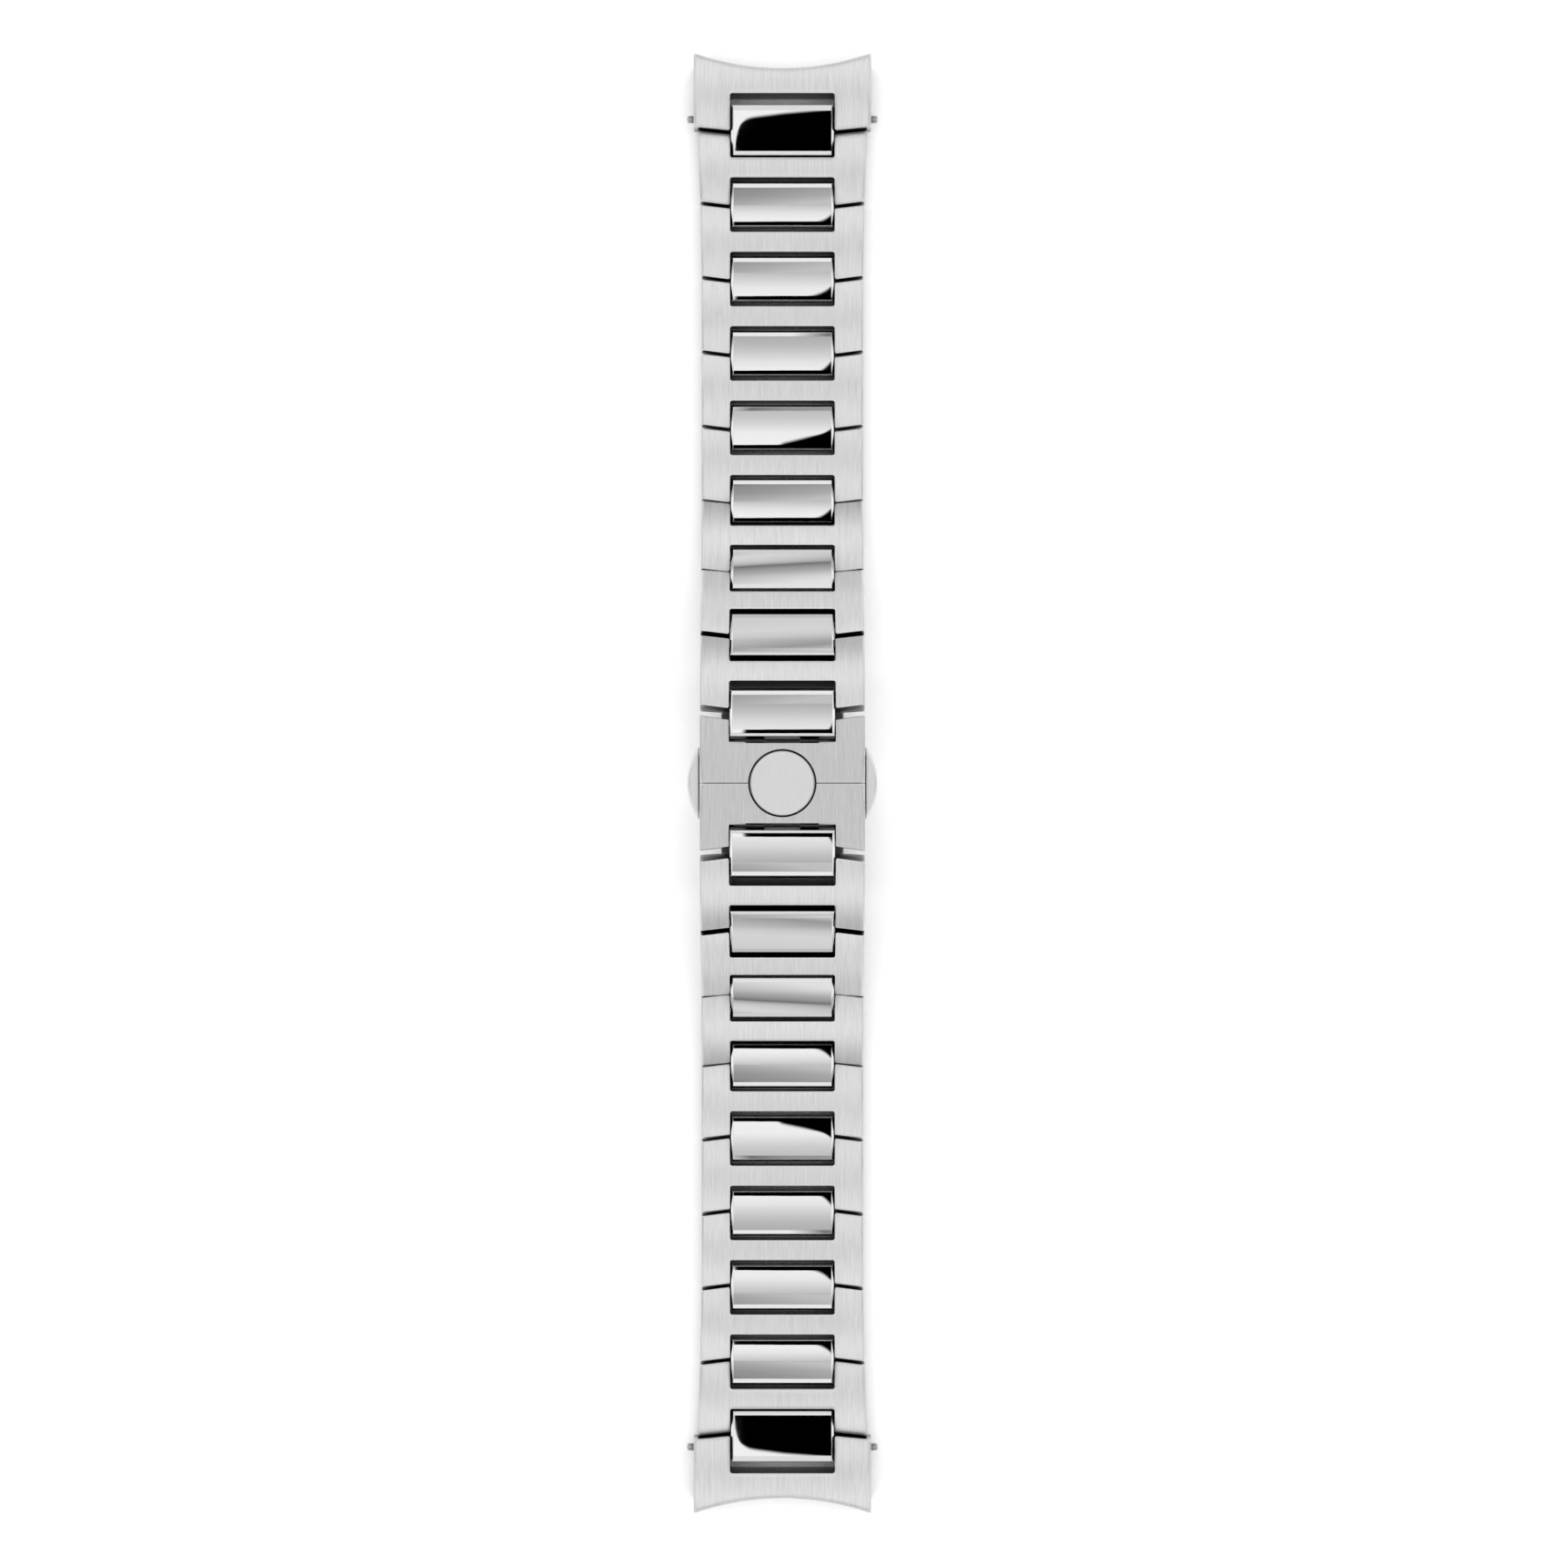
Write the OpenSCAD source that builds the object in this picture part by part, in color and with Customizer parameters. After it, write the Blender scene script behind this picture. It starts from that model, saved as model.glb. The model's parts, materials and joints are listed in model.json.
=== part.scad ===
// Stainless-steel H-link watch bracelet with a hidden butterfly clasp, closed and laid on a table.
// +Y runs along the bracelet to the 12 o'clock end, +X across it, +Z up. The origin is on the
// table, under the middle of the clasp. Millimetres and degrees.
//
// Each half of the bracelet is one chain of pivots that starts at the clasp cover and ends at the
// end link. A link is drawn in its own frame: its inner pin, the one nearer the clasp, lies at the
// frame's origin, +Y runs to its outer pin and z = 0 is the plane of its pins.

/* [H-links] */
// Width of the bracelet along its straight part
link_w = 20; // [18:0.5:24]
// How much wider the bracelet is at the end links
flare_w = 1.9; // [0:0.1:4]
// Number of H-links over which the flare runs out
flare_links = 3; // [1:1:5]
// H-links on each side of the clasp
links_per_side = 8; // [6:1:10]
// Distance between the two pins of an H-link
h_span = 6; // [5.8:0.05:7.5]
// Length of the crossbar that joins the two side lobes
crossbar = 2.45; // [2:0.05:3]
// Gap between the side lobes of neighbouring links, at the pins' height
seam = 0.2; // [0.16:0.02:0.4]
// Slant of the seam: how far its outer end lies beyond its inner end
seam_slant = 0.44; // [0:0.02:0.7]
// Lean of a lobe's end face away from the seam
lobe_draft = 5; // [2:0.5:9]
// Height of the pins above the underside
pin_h = 1.5; // [1.3:0.05:1.8]
// Height of the crown above the pins
crown_h = 1.8; // [1.5:0.05:2.4]
// Radius of the crowned top, along the bracelet
h_crown_r = 28; // [18:1:60]
// Polished chamfer along the outer edges
edge_chamfer = 0.22; // [0.1:0.02:0.4]
// Corner radius of the windows
window_corner = 0.3; // [0.1:0.05:0.5]
// Radius of a lobe's corner between its end and the window
lobe_corner = 0.45; // [0.2:0.05:0.6]

/* [Centre links] */
// Width of a centre link
centre_w = 12.7; // [9:0.1:14]
// Gap between a centre link and the lobe beside it
centre_side_gap = 0.12; // [0.08:0.01:0.3]
// Distance between the two pins of a centre link
centre_span = 3.2; // [3:0.05:4]
// Metal between a pin's axis and the end of the centre link
centre_end = 1.27; // [1.1:0.01:1.5]
// Radius of the convex polished top, along the bracelet
centre_crown_r = 45; // [25:1:60]
// Radius of that top where it rolls down to its two ends
end_roll_r = 9; // [6:0.5:15]
// Length of the rolled part at each end
end_roll_l = 1.1; // [0.5:0.1:1.5]
// Height of a centre link's top above the H-link's crown
centre_proud = 0.03; // [-0.2:0.01:0.2]
// Bevel that frames the polished top
centre_bevel = 0.3; // [0.1:0.05:0.45]
// Distance between the pins of the two centre links next to the clasp
clasp_link_span = 3.8; // [3.4:0.05:4.4]
// Metal beyond the pins of the two centre links next to the clasp
clasp_link_end = 0.98; // [0.9:0.01:1.3]
// Metal beyond the inner pin of the centre link at the end link
first_inner_end = 1.42; // [1.1:0.01:1.5]
// Metal beyond the spring bar in the centre link at the end link
first_outer_end = 1.85; // [1.3:0.05:2.1]

/* [Pins] */
// Diameter of a link pin
pin_d = 1.1; // [0.9:0.05:1.2]
// Radial clearance of a pin in the centre link that turns on it
run_clear = 0.04; // [0.02:0.01:0.08]
// Radial clearance of a pin in the link that holds it
hold_clear = 0.012; // [0.01:0.001:0.02]
// Depth of a pin's ends below the link's flanks
pin_recess = 0.25; // [0.1:0.05:0.6]

/* [End links] */
// Radius of the watch case that the end link meets
case_r = 32; // [26:0.5:40]
// Distance from the spring bar to the middle of the case arc
case_reach = 5.9; // [5.2:0.1:8]
// Distance from the spring bar to the window's far face
end_window = 2.85; // [2.4:0.05:3.4]
// Depth of the case end below the spring bar
case_depth = 2.1; // [1.8:0.05:2.6]
// Height of the end link's crown above the spring bar
end_crown_h = 2.1; // [1.8:0.05:2.8]
// Radius of the end link's crown, along the bracelet
end_crown_r = 25; // [18:1:50]
// Distance from the spring bar to the crest of the crown
end_crest = 4.2; // [3:0.1:6]
// Step under the case end that clears the case
case_step = 0.8; // [0.3:0.1:1.4]
// Distance from the window to the deeper foot of the case end
window_foot = 1; // [0.7:0.1:1.5]

/* [Spring bars] */
// Outer diameter of the spring-bar tube
bar_d = 1.8; // [1.7:0.05:2]
// Inner diameter of the spring-bar tube
bar_bore_d = 1.32; // [1.2:0.02:1.4]
// Diameter of a tip, where it enters the watch's lug
tip_d = 0.9; // [0.7:0.05:0.9]
// Radial clearance of a tip's shank in the tube
tip_clear = 0.04; // [0.02:0.01:0.05]
// How far a tip stands out of the end link
tip_out = 0.85; // [0.5:0.05:1.2]
// Length of a tip
tip_len = 3.6; // [2.5:0.1:5]
// Room for a tip to spring in
tip_travel = 0.8; // [0.4:0.05:0.8]

/* [Clasp covers] */
// Distance from the middle of the clasp to the cover's pin
cover_pin_y = 6.5; // [6.3:0.1:8]
// Distance from the middle of the clasp to the cover's window
cover_solid = 4.85; // [4.7:0.01:5.2]
// Gap where the two covers meet
cover_seam = 0.1; // [0.06:0.02:0.3]
// Radius of the covers' crown, along the bracelet
cover_crown_r = 70; // [40:5:150]
// Chamfer along the covers' outer edges
cover_chamfer = 0.28; // [0.1:0.02:0.4]

/* [Medallion] */
// Diameter of the medallion
medal_d = 8.05; // [6:0.05:8.4]
// Gap round the medallion
medal_gap = 0.1; // [0.06:0.02:0.2]
// Height of the medallion's dome
medal_dome = 0.14; // [0.05:0.01:0.3]
// Bevel round the medallion
medal_bevel = 0.22; // [0.1:0.02:0.35]
// Thickness of the medallion's rim
medal_rim = 1.5; // [1:0.1:2.4]
// Diameter of the post that carries the medallion
medal_post_d = 4; // [2.5:0.1:5]

/* [Butterfly clasp] */
// Inner radius of the curved base blade
blade_r = 30; // [27:0.5:36]
// Thickness of the base blade
blade_t = 1.3; // [1:0.05:1.6]
// Width of the base blade
blade_w = 9; // [7:0.1:10]
// Distance from the middle of the clasp to a hinge pin
hinge_y = 18.4; // [17.5:0.1:20]
// Outer radius of the hinge barrels
barrel_r = 1.15; // [1.05:0.05:1.3]
// Diameter of the clasp's hinge pins
hinge_pin_d = 1.2; // [1:0.05:1.4]
// Gap between the blade and the arms folded on it
fold_gap = 0.15; // [0.1:0.05:0.3]
// Thickness of the folding arms
arm_t = 1.2; // [0.9:0.05:1.4]
// Width of the folding arms
arm_w = 15; // [14.2:0.1:16]
// Distance from the middle of the clasp to an arm's tip
arm_tip_y = 5.05; // [4.9:0.05:5.4]
// Width of the tongue that the arm puts into the latch block
tongue_w = 4.4; // [3:0.1:6]
// Length of that tongue
tongue_l = 1.5; // [0.8:0.1:1.6]
// Height of the ears between an arm's crown and its cover
seat_h = 0.45; // [0.3:0.05:0.8]
// Width of an ear, under the cover's lobe
ear_w = 0.8; // [0.6:0.05:0.85]
// How far an ear stands back from the arm's edges
ear_inset = 0.1; // [0.05:0.05:0.2]

/* [Latch and push buttons] */
// How far the latch block stands back from the bracelet's flanks
latch_inset = 0.6; // [0.5:0.05:1]
// Length of the latch block, along the bracelet
latch_l = 9.4; // [8.8:0.1:9.6]
// Height of the latch block's side walls
latch_h = 2.8; // [2.6:0.1:2.9]
// Width of the sloped faces at the latch block's ends
latch_edge = 0.5; // [0.2:0.05:0.6]
// Thickness of the roof and floor over a push button's stem
latch_wall = 0.6; // [0.4:0.05:0.8]
// Length of a push button, along the bracelet
button_l = 8.7; // [7:0.1:9]
// Radius of a push button's outline
button_r = 8.3; // [6:0.1:12]
// How far a push button stands out beside the bracelet
button_out = 1.6; // [1.2:0.05:2]
// Travel of a push button
button_travel = 0.65; // [0.3:0.05:0.7]
// Edge chamfer of a push button
button_chamfer = 0.3; // [0.1:0.05:0.5]
// Length of a push button's stem, along the bracelet
stem_l = 6.6; // [5:0.1:7]
// Depth of the pocket for the stem
stem_pocket = 4.2; // [3.5:0.1:4.4]
// Clearance round the stem
stem_clear = 0.06; // [0.03:0.01:0.1]

/* [Springs] */
// Wire diameter of the springs
wire_d = 0.2; // [0.12:0.02:0.24]
// Turns of a push-button spring
button_turns = 5; // [3:1:8]
// Turns of a spring-bar spring
bar_turns = 12; // [8:1:16]
// Gap left for the moving piece, beyond its travel
spring_room = 0.1; // [0.05:0.01:0.15]

/* [Hidden] */
$fn = 72;
crown_fn = 360;
eps = 0.01;
far = 40;
through = 8;

// How steeply the links fall from the clasp to the table, chosen by hand from the photograph's
// foreshortening. One gain fits them all to the clasp's height.
drape = [7, 15, 27, 28.4, 20.6, 12.8, 5];

steel_brushed = [0.74, 0.74, 0.75];
steel_polished = [0.86, 0.86, 0.88];
steel_inner = [0.66, 0.66, 0.68];
steel_pin = [0.58, 0.58, 0.60];

// Fits and frame sizes that follow from the values above
pin_r = pin_d / 2;
bar_r = bar_d / 2;
bar_bore_r = bar_bore_d / 2;
shank_r = bar_bore_r - tip_clear;
window_w = centre_w + 2 * centre_side_gap;
latch_w = link_w - 2 * latch_inset;
lobe_in = window_w / 2;
lobe_end = (centre_span - seam) / 2;
bar_face = (h_span - crossbar) / 2;
centre_end_tilt = -asin((case_depth - pin_h) / centre_span);

// The clasp's stack: hinge barrels on the table, blade, arm, ears, cover
hinge_r = blade_r + blade_t + fold_gap / 2;
hinge_a = asin(hinge_y / hinge_r);
curve_z = barrel_r - hinge_r * cos(hinge_a);
arm_r = blade_r + blade_t + fold_gap;
cover_under = curve_z + arm_r + arm_t + seat_h;
cover_pin_z = cover_under + pin_h;
cover_top = cover_pin_z + crown_h;

// The latch block stands between the blade and the covers
latch_top = cover_under - fold_gap;
latch_under = latch_top - latch_h;
stem_h = latch_h - 2 * latch_wall;
stem_z = (latch_top + latch_under) / 2;
pocket_x = latch_w / 2 - stem_pocket;
button_tip = link_w / 2 + button_out;
button_face = latch_w / 2 + button_travel + spring_room;
stem_inner = pocket_x + button_travel + spring_room;
spring_hole_end = button_face - latch_wall;
button_spring_l = spring_hole_end - pocket_x - button_travel - spring_room;
coil_r = 0.4;

// The chain: body 0 is the centre link at the clasp, the last body is the end link
last = 2 * links_per_side + 1;
first_centre = last - 1;

function is_h(i) = i % 2 == 1 && i < last;
function span(i) = i == 0 ? clasp_link_span : is_h(i) ? h_span : centre_span;

// The fall of the drape for a gain g, and the gain that brings the pins down to the table
function fall(g, i = 0) = i >= len(drape) ? 0 : span(i) * sin(g * drape[i]) + fall(g, i + 1);
function fitted(lo, hi, n) =
    let (mid = (lo + hi) / 2)
    n == 0 ? mid : fall(mid) < cover_pin_z - pin_h ? fitted(mid, hi, n - 1) : fitted(lo, mid, n - 1);
drape_gain = fitted(0, 2, 40);

function slope(i) = i < len(drape) ? drape_gain * drape[i] : i == first_centre ? centre_end_tilt : 0;
function pivot(i) =
    i == 0 ? [cover_pin_y, cover_pin_z]
           : pivot(i - 1) + span(i - 1) * [cos(slope(i - 1)), -sin(slope(i - 1))];

// Half the bracelet's width at seam k, counted from the end link
function flank(k) = (link_w + flare_w * pow(max(0, 1 - k / flare_links), 1.6)) / 2;
end_flank = flank(0);

// Two digits, so that the names sort
function two(n) = n < 10 ? str("0", n) : str(n);
function h_name(n) = str("h_link_", two(n));
function centre_name(n) = str("center_link_", two(n));

// Puts a body's own frame at its place in the chain. The 6 o'clock half is the other half turned
// about the middle of the clasp.
module on_chain(half, i) {
    p = pivot(i);
    rotate([0, 0, half == 12 ? 0 : 180])
        translate([0, p[0], p[1]])
            rotate([-slope(i), 0, 0])
                children();
}

// Turns a flat outline drawn in y and z into a solid w wide, centred across the bracelet
module across(w) {
    rotate([90, 0, 90])
        linear_extrude(height = w, center = true)
            children();
}

// A straight rod or bore along X through the point y
module rod(r, w, y = 0) {
    translate([0, y, 0])
        rotate([0, 90, 0])
            cylinder(r = r, h = w, center = true);
}

// A strip bent about the X axis, from angle a0 to angle a1, both measured from straight up
module bent(r0, r1, w, a0, a1) {
    rotate([0, 90, 0])
        rotate([0, 0, 180 - a1])
            rotate_extrude(angle = a1 - a0, $fn = crown_fn)
                translate([r0, -w / 2])
                    square([r1 - r0, w]);
}

// The flat outline of a window with rounded corners at its closed end, open towards +y
module window_outline(w, l) {
    translate([-w / 2, window_corner])
        square([w, l]);
    translate([-w / 2 + window_corner, 0])
        square([w - 2 * window_corner, l]);
    for (s = [-1, 1])
        translate([s * (w / 2 - window_corner), window_corner])
            circle(r = window_corner);
}

// What is cut off the two side lobes at their slanted end, which points to +y. slant is how far
// the end reaches further at the flank than at the window. Above the pins the end leans back by
// the draft, so that the links can lie in a hollow. Below them the round profile lets them fold.
// The corner at the window is rounded by a circle that just crosses both faces.
module lobe_cut(outer, slant) {
    width = outer - lobe_in;
    turn = atan2(slant, width);
    end_y = lobe_end - slant / 2;
    corner = [lobe_in + lobe_corner, end_y + lobe_corner * (tan(turn) - 1 / cos(turn))];
    for (s = [0, 1])
        mirror([s, 0, 0]) {
            translate([lobe_in, end_y, 0])
                rotate([0, 0, turn]) {
                    translate([-1, 0, -through / 2])
                        cube([width + 2, 2, through]);
                    rotate([lobe_draft, 0, 0])
                        translate([-1, 0, 0])
                            cube([width + 2, 2, through / 2]);
                }
            linear_extrude(height = through, center = true)
                difference() {
                    polygon([
                        [lobe_in - 1, corner.y], corner,
                        corner + (lobe_corner + 1) * [-sin(turn), cos(turn)],
                        [lobe_in - 1, corner.y + lobe_corner + 1]
                    ]);
                    translate(corner)
                        circle(r = lobe_corner + 2 * eps);
                }
        }
}

// A ring that cuts the chamfer along a crowned top edge, at the flank x
module edge_cut(x, y, top, r, c, turn) {
    for (s = [-1, 1])
        translate([s * x, y, top - r])
            rotate([0, 0, -s * turn])
                rotate([0, 90, 0])
                    rotate([0, 0, 180 - 25])
                        rotate_extrude(angle = 50, $fn = crown_fn)
                            polygon(s > 0 ? [[r + 1, -c - 1], [r + 1, 1], [r - c - 1, 1]]
                                          : [[r + 1, c + 1], [r - c - 1, -1], [r + 1, -1]]);
}

// Pins and their holes

module link_pin(outer, y) {
    color(steel_pin)
        rod(pin_r, 2 * (outer - pin_recess), y);
}

// H-links

// Side view of an H-link: flat underside, round ends about the pins, crowned top
module h_profile() {
    reach = lobe_end + seam_slant / 2;
    intersection() {
        union() {
            translate([0, -pin_h])
                square([h_span, pin_h]);
            translate([-reach, 0])
                square([h_span + 2 * reach, crown_h]);
            for (y = [0, h_span])
                intersection() {
                    translate([y, 0])
                        circle(r = reach);
                    translate([y - reach, -pin_h])
                        square([2 * reach, pin_h]);
                }
        }
        translate([h_span / 2, crown_h - h_crown_r])
            circle(r = h_crown_r, $fn = crown_fn);
    }
}

// inner and outer are the half widths at the end nearer the clasp and at the other end
module h_body(inner, outer) {
    mid = h_span / 2;
    half_l = mid + lobe_end;
    turn = atan2(outer - inner, 2 * half_l);
    mid_w = (inner + outer) / 2;
    cut_l = half_l + 1;
    cut_w = cut_l * tan(turn);
    difference() {
        intersection() {
            across(2 * outer + 2)
                h_profile();
            linear_extrude(height = through, center = true)
                polygon([
                    [-mid_w + cut_w, mid - cut_l], [mid_w - cut_w, mid - cut_l],
                    [mid_w + cut_w, mid + cut_l], [-mid_w - cut_w, mid + cut_l]
                ]);
        }
        translate([0, h_span, 0])
            lobe_cut(outer, seam_slant);
        mirror([0, 1, 0])
            lobe_cut(inner, -seam_slant);
        translate([0, h_span - bar_face, 0])
            linear_extrude(height = through, center = true)
                window_outline(window_w, far);
        translate([0, bar_face, 0])
            mirror([0, 1, 0])
                linear_extrude(height = through, center = true)
                    window_outline(window_w, far);
        for (y = [0, h_span])
            rod(pin_r + hold_clear, far, y);
        edge_cut(mid_w, mid, crown_h, h_crown_r, edge_chamfer, turn);
    }
}

// An H-link with its two pins. k is the number of the seam at its outer end.
module h_link(k) {
    inner = flank(k + 1);
    outer = flank(k);
    color(steel_brushed)
        h_body(inner, outer);
    link_pin(inner, 0);
    link_pin(outer, h_span);
}

// Centre links

// Side view of a centre link. The top is a shallow arc that rolls down to both ends, and a small
// bevel ends it. The two arcs of the top cross by a hair instead of touching.
module centre_profile(l_span, end0, end1) {
    top = crown_h + centre_proud;
    length = end0 + l_span + end1;
    half_l = length / 2;
    round_r = 0.5;
    mid = (l_span + end1 - end0) / 2;
    flat = half_l - end_roll_l;
    roll_a = asin(flat / centre_crown_r);
    roll_y = flat - end_roll_r * sin(roll_a);
    roll_z = top - centre_crown_r + (centre_crown_r - end_roll_r) * cos(roll_a) + eps / 2;
    corner_z = roll_z + sqrt(pow(end_roll_r, 2) - pow(half_l - roll_y, 2));
    difference() {
        intersection() {
            union() {
                translate([-end0, -pin_h + round_r])
                    square([length, pin_h + top - round_r]);
                translate([-end0 + round_r, -pin_h])
                    square([length - 2 * round_r, round_r + eps]);
                for (y = [-end0 + round_r, l_span + end1 - round_r])
                    translate([y, -pin_h + round_r])
                        circle(r = round_r);
            }
            translate([mid, top - centre_crown_r])
                circle(r = centre_crown_r, $fn = crown_fn);
        }
        for (s = [0, 1])
            translate([mid, 0])
                mirror([s, 0]) {
                    difference() {
                        translate([flat, crown_h / 2])
                            square([end_roll_l + 1, crown_h]);
                        translate([roll_y, roll_z])
                            circle(r = end_roll_r, $fn = crown_fn);
                    }
                    translate([half_l, corner_z])
                        rotate(45)
                            square(centre_bevel * sqrt(2), center = true);
                }
    }
}

// A centre link. r0 and r1 are the radii of its inner and its outer pivot.
module centre_link(l_span, end0, end1, r0, r1) {
    top = crown_h + centre_proud;
    mid = (l_span + end1 - end0) / 2;
    color(steel_polished)
        difference() {
            across(centre_w)
                centre_profile(l_span, end0, end1);
            edge_cut(centre_w / 2, mid, top, centre_crown_r, centre_bevel, 0);
            rod(r0 + run_clear, far, 0);
            rod(r1 + run_clear, far, l_span);
        }
}

// End links

// Side view of an end link: the lobes' round end at -y, a flat underside, a foot under the case
// end, and the crown
module end_profile() {
    reach = lobe_end + seam_slant / 2;
    length = case_reach + end_flank;
    foot = end_window + window_foot;
    intersection() {
        union() {
            translate([0, -pin_h])
                square([length, far]);
            translate([-2 * lobe_end, 0])
                square([length, far]);
            translate([foot, -case_depth])
                square([length, far]);
            translate([foot, -pin_h])
                circle(r = case_depth - pin_h);
            intersection() {
                circle(r = reach);
                translate([-reach, -pin_h])
                    square([reach, pin_h]);
            }
        }
        translate([end_crest, end_crown_h - end_crown_r])
            circle(r = end_crown_r, $fn = crown_fn);
    }
}

// The spring bar lies at the frame's origin and the case end points to +y
module end_link() {
    color(steel_brushed)
        difference() {
            across(2 * end_flank)
                end_profile();
            mirror([0, 1, 0])
                lobe_cut(end_flank, -seam_slant);
            translate([0, case_reach + case_r, 0])
                cylinder(r = case_r, h = far, center = true, $fn = crown_fn);
            translate([0, case_reach + case_r, -far])
                cylinder(r = case_r + case_step, h = far - pin_h / 2, $fn = crown_fn);
            translate([0, end_window, 0])
                mirror([0, 1, 0])
                    linear_extrude(height = through, center = true)
                        window_outline(window_w, far);
            rod(bar_r + hold_clear, far);
            edge_cut(end_flank, end_crest, end_crown_h, end_crown_r, edge_chamfer, 0);
        }
}

// Spring bars

bar_half = end_flank - pin_recess;
tip_inner = end_flank + tip_out - tip_len;

module spring_bar() {
    color(steel_pin)
        difference() {
            rod(bar_r, 2 * bar_half);
            rod(bar_bore_r, far);
        }
}

// One tip, on the side s. Its shank slides in the tube and ends in a shoulder at the flank.
module spring_bar_tip(s) {
    nose = 0.12;
    tip_r = tip_d / 2;
    color(steel_pin)
        rotate([0, s * 90, 0]) {
            translate([0, 0, tip_inner])
                cylinder(r = shank_r, h = tip_len - tip_out);
            translate([0, 0, end_flank - eps])
                cylinder(r = tip_r, h = tip_out - nose + eps);
            translate([0, 0, end_flank + tip_out - nose])
                cylinder(r1 = tip_r, r2 = tip_r - nose, h = nose);
        }
}

// A coil of round wire along X, centred on the origin: one unbroken tube
module coil(r, turns, length) {
    rings = 8;
    sides = 6;
    n = turns * rings;
    wire_r = wire_d / 2;
    rise = length - wire_d;
    points = [
        for (i = [0:n]) for (j = [0:sides - 1])
            let (a = 360 * i / rings, b = 360 * j / sides, q = r + wire_r * cos(b))
            [rise * (i / n - 0.5) + wire_r * sin(b), q * cos(a), q * sin(a)]
    ];
    walls = [
        for (i = [0:n - 1]) for (j = [0:sides - 1])
            let (k = (j + 1) % sides)
            each [
                [i * sides + j, i * sides + k, (i + 1) * sides + j],
                [i * sides + k, (i + 1) * sides + k, (i + 1) * sides + j]
            ]
    ];
    caps = [
        [for (j = [sides - 1:-1:0]) j],
        [for (j = [0:sides - 1]) n * sides + j]
    ];
    polyhedron(points = points, faces = concat(walls, caps));
}

module spring_bar_spring() {
    color(steel_inner)
        coil(bar_bore_r - wire_d / 2 - 2 * tip_clear, bar_turns,
            2 * (tip_inner - tip_travel - spring_room));
}

// Clasp covers, with y = 0 at the middle of the clasp and z = 0 at the pin

module cover_profile() {
    reach = lobe_end + seam_slant / 2;
    intersection() {
        union() {
            translate([cover_seam / 2, -pin_h])
                square([cover_pin_y - cover_seam / 2, pin_h + crown_h]);
            translate([cover_pin_y - eps, 0])
                square([reach + eps, crown_h]);
            intersection() {
                translate([cover_pin_y, 0])
                    circle(r = reach);
                translate([cover_pin_y - eps, -pin_h])
                    square([reach + eps, pin_h + eps]);
            }
        }
        translate([0, crown_h - cover_crown_r])
            circle(r = cover_crown_r, $fn = crown_fn);
    }
}

// Half of a wide H. Its flat end meets the other cover, and the medallion stands in its notch.
module cover_body() {
    half_w = link_w / 2;
    difference() {
        across(link_w)
            cover_profile();
        translate([0, cover_pin_y, 0])
            lobe_cut(half_w, seam_slant);
        translate([0, cover_solid, 0])
            linear_extrude(height = through, center = true)
                window_outline(window_w, far);
        cylinder(r = medal_d / 2 + medal_gap, h = far, center = true);
        rod(pin_r + hold_clear, far, cover_pin_y);
        edge_cut(half_w, cover_pin_y / 2, crown_h, cover_crown_r, cover_chamfer, 0);
    }
}

module clasp_cover() {
    translate([0, 0, cover_pin_z]) {
        color(steel_brushed)
            cover_body();
        link_pin(link_w / 2, cover_pin_y);
    }
}

// The medallion is a domed, bevelled disc on a post that stands in the latch block
module medallion() {
    rim_r = medal_d / 2;
    dome_r = (pow(rim_r, 2) + pow(medal_dome, 2)) / (2 * medal_dome);
    top = cover_top + medal_dome / 2;
    edge = medal_bevel + medal_dome;
    color(steel_polished) {
        rotate_extrude()
            intersection() {
                polygon([
                    [0, top - medal_rim], [rim_r, top - medal_rim], [rim_r, top - edge],
                    [rim_r - edge, top], [0, top]
                ]);
                translate([0, top - dome_r])
                    circle(r = dome_r, $fn = 2 * crown_fn);
            }
        translate([0, 0, curve_z + arm_r])
            cylinder(r = medal_post_d / 2, h = top - medal_rim - curve_z - arm_r + eps);
    }
}

// Butterfly clasp

module base_blade() {
    color(steel_inner)
        translate([0, 0, curve_z])
            difference() {
                union() {
                    bent(blade_r, blade_r + blade_t, blade_w, -hinge_a, hinge_a);
                    for (a = [-hinge_a, hinge_a])
                        rotate([-a, 0, 0])
                            translate([0, 0, hinge_r])
                                rod(barrel_r, blade_w);
                }
                for (a = [-hinge_a, hinge_a])
                    rotate([-a, 0, 0])
                        translate([0, 0, hinge_r])
                            rod(hinge_pin_d / 2 + hold_clear, far);
            }
}

module clasp_hinge_pins() {
    color(steel_pin)
        for (y = [-hinge_y, hinge_y])
            translate([0, 0, barrel_r])
                rod(hinge_pin_d / 2, arm_w - 2 * pin_recess, y);
}

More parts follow.
